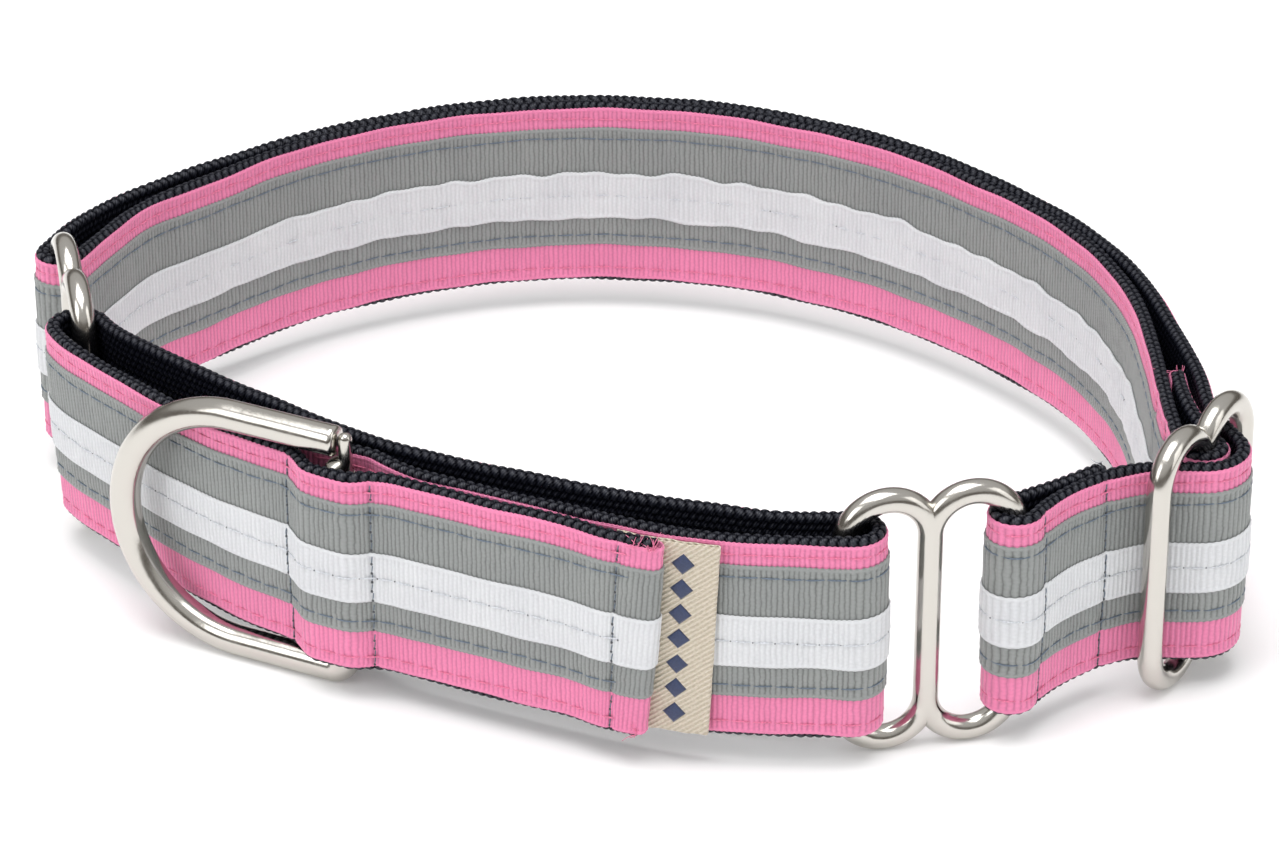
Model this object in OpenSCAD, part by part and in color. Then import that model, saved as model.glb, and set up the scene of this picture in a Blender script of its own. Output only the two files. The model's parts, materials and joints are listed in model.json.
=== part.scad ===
// Martingale collar: a neck strap that doubles back on itself, a control loop
// with the leash ring, and three double-loop slides that link the two.
// The collar stands on its slides. Z is up, X runs from the left slide to the
// right, and the leash side of the collar faces -Y. Units are millimetres.

/* [Strap] */
// Width of the webbing
web_w = 38; // [36:0.5:39]
// Thickness of the webbing
web_t = 2.2; // [1.8:0.1:2.3]
// Thickness of each of the three ribbons
ribbon_t = 0.33; // [0.25:0.01:0.35]
// Height of the middle ribbon's lower and upper edge above the webbing's lower edge
grey_band = [8.05, 33.25]; // [5:0.05:35]
// Height of the narrow ribbon's lower and upper edge above the webbing's lower edge
white_band = [14.05, 23.75]; // [9:0.05:30]
// How far the wide ribbon stays inside the webbing's edges
pink_inset = 0.75; // [0.5:0.05:1.5]

/* [Hardware] */
// Diameter of a slide's bars and arcs
slide_wire = 4.3; // [3.8:0.1:4.4]
// Distance from a slide's centre bar to each outer bar
bar_pitch = 14.6; // [14.4:0.1:14.8]
// Overall height of a slide and of the leash ring
hardware_h = 50; // [48:0.5:52]
// Diameter of the leash ring's wire
ring_wire = 5.4; // [5:0.1:5.6]
// Distance from the leash ring's straight bar to the centre of its bow
ring_arm = 20.7; // [16:0.1:24]

/* [Label] */
// How far the folded tape label stands out past the end of the strap
label_out = 11.5; // [8:0.5:16]
// Height of the label
label_h = 36.6; // [34:0.1:38]

/* [Hidden] */

// Clearance between sewn layers, and between a strap and a bar that it turns on
layer_gap = 0.03;
bar_gap = 0.15;
// Gap between the two strands of the neck strap
strand_gap = 0.25;
thread_t = 0.1;
thread_w = 0.5;
// Straps are drawn in steps of this many degrees round their bends
bend_step = 6;

strap_z = (hardware_h - web_w) / 2;
// Middle of the collar's outline in plan, which becomes the origin
plan_middle = [0.3, 2.48];
bar_r = slide_wire / 2;
half_web = web_t / 2;
// Distance from the webbing's middle to the outer face of each ribbon
pink_face = half_web + layer_gap + ribbon_t;
grey_face = pink_face + layer_gap + ribbon_t;
white_face = grey_face + layer_gap + ribbon_t;
// Outer face of the stitching, the outermost thing on a strap
thread_face = white_face + layer_gap + thread_t;
// From one webbing's middle to the next: with ribbons between them, or back to back
stacked = thread_face + layer_gap + half_web;
back_to_back = web_t + strand_gap;
wrap_r = bar_r + bar_gap + half_web;
over_wrap_r = wrap_r + stacked + 0.2;
// Distance from a bar's end to where its arcs begin
arc_start = bar_r + bar_pitch / 2;

pink_colour = [0.93, 0.45, 0.64];
grey_colour = [0.55, 0.58, 0.57];
white_colour = [0.9, 0.9, 0.91];
web_colour = [0.09, 0.09, 0.12];
metal_colour = [0.82, 0.8, 0.76];
thread_colour = [0.42, 0.48, 0.55];
label_colour = [0.9, 0.86, 0.76];

// ---- Plan of the hardware: middle of each slide and the way its bars run ----
front_at = [51.0, -74.7];
front_turn = 12;
adjuster_at = [98, -50];
adjuster_turn = 56;
left_at = [-98.6, 8.3];
left_turn = 103.5;
ring_at = [-47.5, -55.5];
ring_turn = 153.5;

function way(angle) = [cos(angle), sin(angle)];
front_left_bar = front_at - bar_pitch * way(front_turn);
front_right_bar = front_at + bar_pitch * way(front_turn);
adjuster_left_bar = adjuster_at - bar_pitch * way(adjuster_turn);
adjuster_right_bar = adjuster_at + bar_pitch * way(adjuster_turn);
near_bar = left_at - bar_pitch * way(left_turn);
far_bar = left_at + bar_pitch * way(left_turn);

// ---- Strap paths ----
// A path is a list of corners [x, y] or [x, y, radius]. A corner with no radius
// takes the widest arc that fits. The ribbons lie on the right of the way along.
function xy(p) = [p[0], p[1]];
function unit(v) = v / norm(v);
function left_of(v) = [-v[1], v[0]];
function cross2(a, b) = a[0] * b[1] - a[1] * b[0];

// Corners that take a path round a bar on its left, from one corner to another
wrap_corners = 3;
function wrap(from, bar, to, r) =
    let (
        a = bar - from,
        b = to - bar,
        h_in = atan2(a[1], a[0]) - asin(r / norm(a)),
        h_out = atan2(b[1], b[0]) + asin(r / norm(b)),
        turn = (h_out - h_in + 720) % 360,
        step = turn / wrap_corners
    )
    [for (i = [0 : wrap_corners - 1])
        concat(bar - r / cos(step / 2) * left_of(way(h_in + (i + 0.5) * step)), [r])];

// The same corners moved sideways: d to the right of the way along
function move_right(line, d) = [
    for (i = [0 : len(line) - 1])
        let (
            a = unit(line[max(i, 1)] - line[max(i, 1) - 1]),
            b = unit(line[min(i, len(line) - 2) + 1] - line[min(i, len(line) - 2)]),
            n = -left_of(unit(a + b))
        )
        line[i] + n * d / sqrt((1 + a * b) / 2)
];
function reversed(line) = [for (i = [len(line) - 1 : -1 : 0]) line[i]];

// Length that the arc at a corner may take from the leg between two corners
function share(line, i, j) =
    let (leg = norm(xy(line[j]) - xy(line[i])))
    (j == 0 || j == len(line) - 1) ? 0.95 * leg
    : len(line[j]) == 3 ? leg - line[j][2] * tan(abs(turn_at(line, j)) / 2)
    : 0.5 * leg;
function turn_at(line, i) =
    let (
        a = unit(xy(line[i]) - xy(line[i - 1])),
        b = unit(xy(line[i + 1]) - xy(line[i]))
    )
    atan2(cross2(a, b), a * b);

// Stations [x, y, heading] round one corner
function corner_stations(line, i) =
    let (
        turn = turn_at(line, i),
        a = unit(xy(line[i]) - xy(line[i - 1])),
        heading = atan2(a[1], a[0]),
        side = turn >= 0 ? 1 : -1,
        half_tan = tan(abs(turn) / 2),
        reach = len(line[i]) == 3 ? line[i][2] * half_tan
            : min(share(line, i, i - 1), share(line, i, i + 1)),
        r = reach / half_tan,
        centre = xy(line[i]) - reach * a + side * r * left_of(a),
        steps = max(1, ceil(abs(turn) / bend_step))
    )
    [for (k = [0 : steps])
        let (h = heading + turn * k / steps)
        concat(centre - side * r * left_of(way(h)), [h])];

function end_station(from, to, at) =
    let (a = unit(xy(to) - xy(from)))
    concat(xy(at), [atan2(a[1], a[0])]);

function all_stations(line) = concat(
    [end_station(line[0], line[1], line[0])],
    [for (i = [1 : len(line) - 2]) each corner_stations(line, i)],
    [end_station(line[len(line) - 2], line[len(line) - 1], line[len(line) - 1])]
);
// Stations with repeats dropped, where two arcs meet
function stations(line) =
    let (s = all_stations(line))
    [for (i = [0 : len(s) - 1]) if (i == 0 || norm(xy(s[i]) - xy(s[i - 1])) > 0.02) s[i]];

// Points at a distance to the right of each station
function beside(s, distance) = [for (p = s) xy(p) - distance * left_of(way(p[2]))];

// A sheet that follows the path, from offset a to offset b on the path's right
module sheet(line, a, b, z_low, z_high) {
    s = stations(line);
    translate([0, 0, strap_z + z_low])
        linear_extrude(height = z_high - z_low)
            polygon(concat(beside(s, b), beside(reversed(s), a)));
}

// ---- Main strap ----
// The line where the outer and inner strand meet back to back, left to right
back_line = [
    [-62.5, 68.8], [-47, 77.4], [-31, 83.4], [-14, 86.6], [5, 86.2], [23, 82.4],
    [40, 74.7], [56, 63.6], [70.5, 49.4], [82.5, 33.2]
];
// The collar's halves part in the middle of this leg of the line
cut_leg = 3;
cut_gap = 0.1;
function part_of(line, first, last) = [for (i = [first : last]) line[i]];
function last_of(line) = len(line) - 1;

back_way = unit(back_line[cut_leg + 1] - back_line[cut_leg]);
back_middle = (back_line[cut_leg + 1] + back_line[cut_leg]) / 2;
outer_middle = back_middle + back_to_back / 2 * left_of(back_way);
inner_middle = back_middle - back_to_back / 2 * left_of(back_way);
outer_line = reversed(move_right(back_line, -back_to_back / 2));
inner_line = move_right(back_line, back_to_back / 2);
outer_cut = last_of(back_line) - cut_leg - 1;

// Next corners of the outer strand after the adjuster, and the short end beside it
side_line = [[104.4, -47.6], [100.6, -37.8], [100.2, -24]];
short_end_line = move_right(side_line, -stacked - 0.45);

// From the sewn end behind the front slide, round its bar, over the adjuster
// and up the outside to the back
front_tail = [[80.6, -57.2], [69.7, -64.9]];
front_strand = [[71.4, -67.4], [81.8, -59.4], [88.2, -56.9]];
main_right_outer = concat(
    front_tail,
    wrap(front_tail[1], front_right_bar, front_strand[0], wrap_r),
    front_strand,
    wrap(front_strand[2], adjuster_at, side_line[1], over_wrap_r),
    part_of(side_line, 1, 2),
    [[98.2, -12], [95.2, 4], [91.9, 17]],
    part_of(outer_line, 0, outer_cut),
    [outer_middle]
);
// Round the far bar of the left slide and back on the inside
left_outer = [[-81.5, 55.6], [-98.5, 40]];
left_inner = [[-90, 41], [-79.6, 50.6]];
main_left_strap = concat(
    [outer_middle - cut_gap * back_way],
    part_of(outer_line, outer_cut + 1, last_of(back_line)),
    left_outer,
    wrap(left_outer[1], far_bar, left_inner[0], wrap_r),
    left_inner,
    part_of(inner_line, 0, cut_leg),
    [inner_middle - cut_gap * back_way]
);
// Down the inside to the adjuster's centre bar, with a short end sewn between
side_inner = [[87.9, 18.9], [92.1, 3], [93.3, -16], [93.5, -32]];
main_right_inner = concat(
    [inner_middle],
    part_of(inner_line, cut_leg + 1, last_of(back_line)),
    side_inner,
    wrap(side_inner[3], adjuster_at, short_end_line[1], wrap_r),
    part_of(short_end_line, 1, 2)
);

// ---- Control loop ----
// Outer layer: over the ring's bar to the sewn end on the front
ring_way = way(ring_turn + 180);
ring_in = left_of(ring_way);
pocket_half = 4;
over_ring = ring_wire / 2 + 0.1 + half_web;
under_ring = ring_wire / 2 + 0.1 + thread_face;
front_layer = [[-40.4, -60.2], [-26, -67.4], [-12.7, -73.7], [4.6, -81.1]];
front_under = move_right(front_layer, -stacked - 0.05);
// The end of the outer layer lifts over the label's tail
lifted_end = [[-7.5, -76], [-3.2, -79.2], [3.2, -81.9], [5.8, -82.81]];
loop_cut = [-68.25, -42.35];
loop_right_outer = concat(
    [loop_cut, [-61.5, -47.7], [-55.2, -51.4]],
    [
        concat(ring_at - over_ring * ring_in - pocket_half * ring_way, [over_ring]),
        concat(ring_at - over_ring * ring_in + pocket_half * ring_way, [over_ring])
    ],
    part_of(front_layer, 0, 2),
    lifted_end
);
// Under layer, the turn round the front slide's bar and the strand on the neck side
front_bight = [38.2, -78];
front_bight_r = 4.2;
label_bend_r = 80;
front_single = [19.6, -81.5];
neck_strand = [
    [26, -73.8], [12.6, -70.3], [-4, -65.4], [-20.9, -58.4], [-38, -50.5],
    [-47, -44.8], [-54.5, -38.8], [-60.25, -33.7]
];
loop_right_inner = concat(
    [[-54.3, -47.4]],
    [
        concat(ring_at + under_ring * ring_in - pocket_half * ring_way, [6]),
        concat(ring_at + under_ring * ring_in + pocket_half * ring_way, [6])
    ],
    [[-37.3, -57.8]],
    part_of(front_under, 1, 2),
    [concat(front_under[3], [label_bend_r]), front_single],
    wrap(front_single, front_bight, neck_strand[0], front_bight_r),
    neck_strand
);
// Round the near bar of the left slide
near_bight = near_bar + 0.5 * way(left_turn);
near_bight_r = 4.6;
loop_left_neck = [[-60.32, -33.63], [-66, -28.6], [-74.8, -20.3], [-88.6, -7.6]];
loop_left_front = [
    [-96.9, -12], [-86.2, -24], [-74.6, -36.6], loop_cut + cut_gap * unit([-74.6, -36.6] - loop_cut)
];
loop_left_strap = concat(
    loop_left_neck,
    wrap(loop_left_neck[3], near_bight, loop_left_front[0], near_bight_r),
    loop_left_front
);

// ---- Layers of a strap, from the webbing outwards ----
module webbing(line) {
    sheet(line, -half_web, half_web, 0, web_w);
}
module pink_ribbon(line) {
    sheet(line, pink_face - ribbon_t, pink_face, pink_inset, web_w - pink_inset);
}
module grey_ribbon(line) {
    sheet(line, grey_face - ribbon_t, grey_face, grey_band[0], grey_band[1]);
}
module white_ribbon(line) {
    sheet(line, white_face - ribbon_t, white_face, white_band[0], white_band[1]);
}
// Room in the webbing's edges for the arcs at the ends of a slide's bar
module bar_relief(bar) {
    for (z = [strap_z - 1, hardware_h - arc_start])
        translate([bar[0], bar[1], z])
            cylinder(r = bar_r + 1.3, h = arc_start + 1 - strap_z, $fn = 48);
}
// A row of stitching on a ribbon's face, drawn as one fine cord
module stitch_row(line, face, height) {
    low = face + layer_gap;
    sheet(line, low, low + thread_t, height - thread_w / 2, height + thread_w / 2);
}
row_inset = 2.2;
module pink_thread(line) {
    stitch_row(line, pink_face, pink_inset + row_inset);
    stitch_row(line, pink_face, web_w - pink_inset - row_inset);
}
module grey_thread(line) {
    stitch_row(line, grey_face, grey_band[0] + row_inset);
    stitch_row(line, grey_face, grey_band[1] - row_inset);
}
module white_thread(line) {
    stitch_row(line, white_face, (white_band[0] + white_band[1]) / 2);
}

// ---- Cross rows of stitching ----
// Length along the stations up to number i, and the station at a given length
function run_to(s, i) = i == 0 ? 0 : run_to(s, i - 1) + norm(xy(s[i]) - xy(s[i - 1]));
function spot(s, along, i = 0) =
    let (leg = norm(xy(s[i + 1]) - xy(s[i])))
    along <= leg || i == len(s) - 2
        ? xy(s[i]) + along * unit(xy(s[i + 1]) - xy(s[i]))
        : spot(s, along - leg, i + 1);
stitch_bands = [
    [pink_inset, grey_band[0], pink_face, pink_inset + row_inset],
    [grey_band[0], white_band[0], grey_face, grey_band[0] + row_inset],
    [white_band[0], white_band[1], white_face, (white_band[0] + white_band[1]) / 2],
    [white_band[1], grey_band[1], grey_face, grey_band[1] - row_inset],
    [grey_band[1], web_w - pink_inset, pink_face, web_w - pink_inset - row_inset]
];
// One row of stitches across the strap, clear of the rows that run along it
module cross_row(line, along) {
    s = stations(line);
    a = spot(s, along);
    b = spot(s, along + thread_w);
    for (band = stitch_bands) {
        low = band[2] + layer_gap;
        sheet_between(a, b, low, band[0] + 0.3, band[3] - 0.6);
        sheet_between(a, b, low, band[3] + 0.6, band[1] - 0.3);
    }
}
module sheet_between(a, b, low, z_low, z_high) {
    out = -left_of(unit(b - a));
    translate([0, 0, strap_z + z_low])
        linear_extrude(height = z_high - z_low)
            polygon([a + low * out, b + low * out,
                b + (low + thread_t) * out, a + (low + thread_t) * out]);
}

// ---- Hardware ----
// Double-loop slide: two outer bars and a shared centre bar, joined by round
// arcs above and below
module slide(at, turn) {
    arc_r = bar_pitch / 2;
    color(metal_colour)
        translate([at[0], at[1], 0])
            rotate([0, 0, turn]) {
                for (x = [-bar_pitch, 0, bar_pitch])
                    translate([x, 0, arc_start])
                        cylinder(r = bar_r, h = hardware_h - 2 * arc_start, $fn = 48);
                for (x = [-arc_r, arc_r]) {
                    translate([x, 0, hardware_h - arc_start])
                        half_ring(arc_r, bar_r);
                    translate([x, 0, arc_start])
                        mirror([0, 0, 1])
                            half_ring(arc_r, bar_r);
                }
            }
}
// Upper half of an upright ring of round wire
module half_ring(ring_r, wire_r) {
    rotate([90, 0, 0])
        rotate_extrude(angle = 180, $fn = 64)
            translate([ring_r, 0])
                circle(r = wire_r, $fn = 32);
}
module leash_ring() {
    wire_r = ring_wire / 2;
    bow_r = hardware_h / 2 - wire_r;
    color(metal_colour)
        translate([ring_at[0], ring_at[1], 0])
            rotate([0, 0, ring_turn]) {
                translate([0, 0, wire_r])
                    cylinder(r = wire_r - 0.1, h = 2 * bow_r, $fn = 48);
                for (z = [wire_r, hardware_h - wire_r])
                    translate([-wire_r, 0, z])
                        rotate([0, 90, 0])
                            cylinder(r = wire_r, h = ring_arm + wire_r, $fn = 48);
                translate([ring_arm, 0, hardware_h / 2])
                    rotate([0, 90, 0])
                        half_ring(bow_r, wire_r);
            }
}

// ---- Label: a tape folded in half, its tail under the end of the strap ----
module folded_label() {
    bend = front_under[3];
    back = unit(front_under[2] - bend);
    ahead = unit(front_single - bend);
    low = thread_face + layer_gap;
    tape_t = 0.4;
    high = low + 2 * tape_t + 0.1;
    tail = bend + 6 * back;
    tape = stations([tail, concat(bend, [label_bend_r]), bend + label_out * ahead]);
    slot = stations([tail, concat(bend, [label_bend_r]), bend + (label_out - tape_t) * ahead]);
    color(label_colour)
        translate([0, 0, strap_z + (web_w - label_h) / 2])
            linear_extrude(height = label_h)
                polygon(concat(
                    beside(tape, low), beside(reversed(tape), high),
                    beside(slot, high - tape_t), beside(reversed(slot), low + tape_t)
                ));
}

// ---- Parts: each layer of each length of strap ----
main_right = [main_right_outer, main_right_inner];
main_left = [main_left_strap];
loop_right = [loop_right_outer, loop_right_inner];
loop_left = [loop_left_strap];

module main_webbing_right() {
    color(web_colour)
        difference() {
            for (line = main_right)
                webbing(line);
            bar_relief(front_right_bar);
            bar_relief(adjuster_at);
        }
}
module main_pink_ribbon_right() color(pink_colour) for (line = main_right) pink_ribbon(line);
module main_grey_ribbon_right() color(grey_colour) for (line = main_right) grey_ribbon(line);
module main_white_ribbon_right() color(white_colour) for (line = main_right) white_ribbon(line);
module main_pink_thread_right() color(pink_colour) for (line = main_right) pink_thread(line);
module main_grey_thread_right() color(thread_colour) for (line = main_right) grey_thread(line);
module main_white_thread_right() color(white_colour) for (line = main_right) white_thread(line);
module main_webbing_left() {
    color(web_colour)
        difference() {
            webbing(main_left_strap);
            bar_relief(far_bar);
        }
}
module main_pink_ribbon_left() color(pink_colour) for (line = main_left) pink_ribbon(line);
module main_grey_ribbon_left() color(grey_colour) for (line = main_left) grey_ribbon(line);
module main_white_ribbon_left() color(white_colour) for (line = main_left) white_ribbon(line);
module main_pink_thread_left() color(pink_colour) for (line = main_left) pink_thread(line);
module main_grey_thread_left() color(thread_colour) for (line = main_left) grey_thread(line);
module main_white_thread_left() color(white_colour) for (line = main_left) white_thread(line);
module loop_webbing_right() color(web_colour) for (line = loop_right) webbing(line);
module loop_pink_ribbon_right() color(pink_colour) for (line = loop_right) pink_ribbon(line);
module loop_grey_ribbon_right() color(grey_colour) for (line = loop_right) grey_ribbon(line);
module loop_white_ribbon_right() color(white_colour) for (line = loop_right) white_ribbon(line);
module loop_pink_thread_right() color(pink_colour) for (line = loop_right) pink_thread(line);
module loop_grey_thread_right() color(thread_colour) for (line = loop_right) grey_thread(line);
module loop_white_thread_right() color(white_colour) for (line = loop_right) white_thread(line);
module loop_webbing_left() color(web_colour) for (line = loop_left) webbing(line);
module loop_pink_ribbon_left() color(pink_colour) for (line = loop_left) pink_ribbon(line);
module loop_grey_ribbon_left() color(grey_colour) for (line = loop_left) grey_ribbon(line);
module loop_white_ribbon_left() color(white_colour) for (line = loop_left) white_ribbon(line);
module loop_pink_thread_left() color(pink_colour) for (line = loop_left) pink_thread(line);
module loop_grey_thread_left() color(thread_colour) for (line = loop_left) grey_thread(line);
module loop_white_thread_left() color(white_colour) for (line = loop_left) white_thread(line);

module placed() translate([-plan_middle[0], -plan_middle[1], 0]) children();

module front_slide() slide(front_at, front_turn);
module left_slide() slide(left_at, left_turn);
module adjuster_slide() slide(adjuster_at, adjuster_turn);

// Rows that close the ring's pocket, to the left and right of its bar
module ring_pocket_stitching() {
    color(thread_colour)
        for (along = [15.7, 33.2])
            cross_row(loop_right_outer, along);
}
module loop_end_stitching() color(thread_colour) cross_row(loop_right_outer, 79.8);
// Rows that close the main strap round the front slide's bar
module front_wrap_stitching() {
    color(thread_colour)
        for (along = [34.5, 50.7])
            cross_row(main_right_outer, along);
}
// Rows that hold the short end to the inner strand
module adjuster_end_stitching() {
    color(thread_colour)
        for (along = [170, 180])
            cross_row(main_right_inner, along);
}

placed() main_webbing_right();
placed() main_pink_ribbon_right();
placed() main_grey_ribbon_right();
placed() main_white_ribbon_right();
placed() main_pink_thread_right();
placed() main_grey_thread_right();
placed() main_white_thread_right();
placed() main_webbing_left();
placed() main_pink_ribbon_left();
placed() main_grey_ribbon_left();
placed() main_white_ribbon_left();
placed() main_pink_thread_left();
placed() main_grey_thread_left();
placed() main_white_thread_left();
placed() loop_webbing_right();
placed() loop_pink_ribbon_right();
placed() loop_grey_ribbon_right();
placed() loop_white_ribbon_right();
placed() loop_pink_thread_right();
placed() loop_grey_thread_right();
placed() loop_white_thread_right();
placed() loop_webbing_left();
placed() loop_pink_ribbon_left();
placed() loop_grey_ribbon_left();
placed() loop_white_ribbon_left();
placed() loop_pink_thread_left();
placed() loop_grey_thread_left();
placed() loop_white_thread_left();
placed() front_slide();
placed() left_slide();
placed() adjuster_slide();
placed() leash_ring();
placed() folded_label();
placed() ring_pocket_stitching();
placed() loop_end_stitching();
placed() front_wrap_stitching();
placed() adjuster_end_stitching();
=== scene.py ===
"""Looks for the martingale collar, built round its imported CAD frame.

Lengths are in millimetres, unless a name ends in _M. Heights start at the straps' lower edge.
"""

import json
import math

import bpy
import numpy as np
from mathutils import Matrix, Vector


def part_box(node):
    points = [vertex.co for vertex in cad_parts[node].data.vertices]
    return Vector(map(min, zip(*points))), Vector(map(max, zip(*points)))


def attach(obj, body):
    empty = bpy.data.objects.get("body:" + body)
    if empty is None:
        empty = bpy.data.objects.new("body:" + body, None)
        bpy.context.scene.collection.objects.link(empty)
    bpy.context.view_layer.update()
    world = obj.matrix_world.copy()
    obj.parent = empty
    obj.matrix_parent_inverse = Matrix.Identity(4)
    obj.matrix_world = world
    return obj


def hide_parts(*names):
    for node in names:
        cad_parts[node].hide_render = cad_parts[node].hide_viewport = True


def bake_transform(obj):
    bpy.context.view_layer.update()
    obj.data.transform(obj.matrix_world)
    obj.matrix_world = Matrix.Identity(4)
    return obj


MM = 0.001

# Fabric sizes
STRAP_HEIGHT = 38.0
WEB_T = 2.2
RIBBON_T = 0.33
LAYER_GAP = 0.03
TAPE_T = 0.42

# Half the thickness of the leash ring's wire
WIRE_R = 2.7

# Repeats of the weaves and of the stitches
RIB_PITCH = 0.9
KNOT_PITCH = 1.65
LANE_PITCH = 1.3
STITCH_PITCH = 3.6

# Stitch rows start and end this far from the ends of a strap
STITCHES_FROM = 1.5

# Distances between the sections of the swept meshes
RIBBON_STEP = 0.15
WEB_STEP = 0.225
TAPE_STEP = 0.12

# Outer face of each ribbon, from the middle of the webbing
HALF = WEB_T / 2
PINK_FACE = HALF + LAYER_GAP + RIBBON_T
GREY_FACE = PINK_FACE + LAYER_GAP + RIBBON_T
WHITE_FACE = GREY_FACE + LAYER_GAP + RIBBON_T

# Lower and upper edge of each ribbon, and the heights of the stitch rows along it
PINK = (0.75, 37.25)
GREY = (8.05, 33.25)
WHITE = (14.05, 23.75)
ROW_INSET = 2.2
PINK_ROWS = (PINK[0] + ROW_INSET, PINK[1] - ROW_INSET)
GREY_ROWS = (GREY[0] + ROW_INSET, GREY[1] - ROW_INSET)
WHITE_ROW = sum(WHITE) / 2
LAYERS = [
    ("pink", PINK_FACE, PINK, PINK_ROWS),
    ("grey", GREY_FACE, GREY, GREY_ROWS),
    ("white", WHITE_FACE, WHITE, (WHITE_ROW,)),
]

# Spans of the strap's height where a row of stitches across it lies on one ribbon's face
BANDS = [
    (PINK[0] + 0.6, GREY[0] - 0.4, PINK_FACE),
    (GREY[0] + 0.4, WHITE[0] - 0.3, GREY_FACE),
    (WHITE[0] + 0.4, WHITE[1] - 0.4, WHITE_FACE),
    (WHITE[1] + 0.3, GREY[1] - 0.4, GREY_FACE),
    (GREY[1] + 0.4, PINK[1] - 0.6, PINK_FACE),
]


# ---- Numbers and small helpers ----
def smooth(edge_a, edge_b, x):
    """0 before edge_a, 1 after edge_b, smooth in between."""
    t = np.clip((x - edge_a) / (edge_b - edge_a), 0, 1)
    return t * t * (3 - 2 * t)


def bell(x, width):
    return np.exp(-((x / width) ** 2))


def unit(v):
    return v / np.linalg.norm(v, axis=-1, keepdims=True)


def wobble(x, seed, period):
    """A slow irregular wave of about unit height."""
    rng = np.random.default_rng(seed)
    total = np.zeros_like(x, dtype=float)
    for k in range(5):
        length = period * (0.55 + 0.35 * k)
        total += np.sin(2 * np.pi * x / length + rng.uniform(0, 2 * np.pi))
    return total / 2.4


def run_along(line):
    """Length from the first point of a line to each of its points."""
    return np.concatenate([[0], np.cumsum(np.linalg.norm(np.diff(line, axis=0), axis=1))])


# ---- Meshes ----
def mesh_object(name, points, quads, uv=None, caps=(), relief=None):
    """A smooth-shaded object made of quads and of caps with any number of sides.

    The relief of a point is 0 in a hollow of the weave and 1 on top of a yarn; the materials paint shade in the
    hollows and highlights on the tops from it.
    """
    mesh = bpy.data.meshes.new(name)
    corners = np.concatenate([np.asarray(quads).ravel(), *[np.asarray(cap) for cap in caps]])
    sizes = np.array([4] * len(quads) + [len(cap) for cap in caps])
    starts = np.cumsum(sizes) - sizes
    mesh.vertices.add(len(points))
    mesh.vertices.foreach_set("co", (np.asarray(points, float) * MM).astype(np.float32).ravel())
    mesh.loops.add(len(corners))
    mesh.loops.foreach_set("vertex_index", corners.astype(np.int32))
    mesh.polygons.add(len(sizes))
    mesh.polygons.foreach_set("loop_start", starts.astype(np.int32))
    mesh.polygons.foreach_set("use_smooth", np.ones(len(sizes), bool))
    mesh.update(calc_edges=True)
    mesh.validate()
    if uv is not None:
        layer = mesh.uv_layers.new(name="strap")
        index = np.zeros(len(mesh.loops), np.int32)
        mesh.loops.foreach_get("vertex_index", index)
        layer.data.foreach_set("uv", np.asarray(uv, np.float32)[index].ravel())
    if relief is not None:
        attribute = mesh.attributes.new("relief", "FLOAT", "POINT")
        attribute.data.foreach_set("value", relief.astype(np.float32).ravel())
    obj = bpy.data.objects.new(name, mesh)
    bpy.context.scene.collection.objects.link(obj)
    return obj


def skin(rows, count, base=0):
    """Quads between rows of points that each close to a ring, and the caps of both ends."""
    start = base + np.arange(rows - 1)[:, None] * count
    k = np.arange(count)[None, :]
    after = (k + 1) % count
    quads = np.stack([start + k, start + count + k, start + count + after, start + after], -1)
    first = list(range(base, base + count))
    last = list(range(base + (rows - 1) * count, base + rows * count))
    return quads.reshape(-1, 4), [first, last[::-1]]


def sweep(name, path, s, offset, z, texture_s=None, relief=None):
    """A closed skin through sections: offset and z hold one row for each length in s."""
    rows, count = offset.shape
    points = path.at(s[:, None], offset, z).reshape(-1, 3)
    quads, caps = skin(rows, count)
    lengths = s if texture_s is None else texture_s
    uv = np.stack([np.repeat(lengths[:, None], count, 1), z], -1).reshape(-1, 2)
    return mesh_object(name, points, quads, uv, caps, relief)


def tube_run(points, radius, sides_n, up=None):
    """Rings of points round a cord through points [n, 3], with a radius at each."""
    way = unit(np.gradient(points, axis=0))
    if up is None:
        upright = abs(way[:, 2]).max() >= 0.9
        up = np.array([1.0, 0.0, 0.0]) if upright else np.array([0.0, 0.0, 1.0])
    a = unit(np.cross(way, up))
    b = np.cross(way, a)
    turn = np.linspace(0, 2 * np.pi, sides_n, endpoint=False)[None, :, None]
    ring = a[:, None] * np.cos(turn) + b[:, None] * np.sin(turn)
    return points[:, None] + ring * radius[:, None, None]


class Cords:
    """Many short cords gathered in one mesh."""

    def __init__(self, sides_n=6):
        self.rings = []
        self.sides_n = sides_n

    def add(self, points, radius, up=None):
        self.rings.append(tube_run(points, radius, self.sides_n, up))

    def build(self, name):
        points = []
        quads = []
        caps = []
        base = 0
        for ring in self.rings:
            rows, count = ring.shape[:2]
            points.append(ring.reshape(-1, 3))
            faces, (first, last) = skin(rows, count, base)
            quads.append(faces[:, [0, 3, 2, 1]])
            caps += [first[::-1], last[::-1]]
            base += rows * count
        return mesh_object(name, np.concatenate(points), np.concatenate(quads), None, caps)


# ---- Strap paths, read from the frame's webbing ----
def cad_points(name):
    """The points of a CAD piece."""
    return np.array([v.co for v in nodes[name].data.vertices], float) / MM


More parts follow.
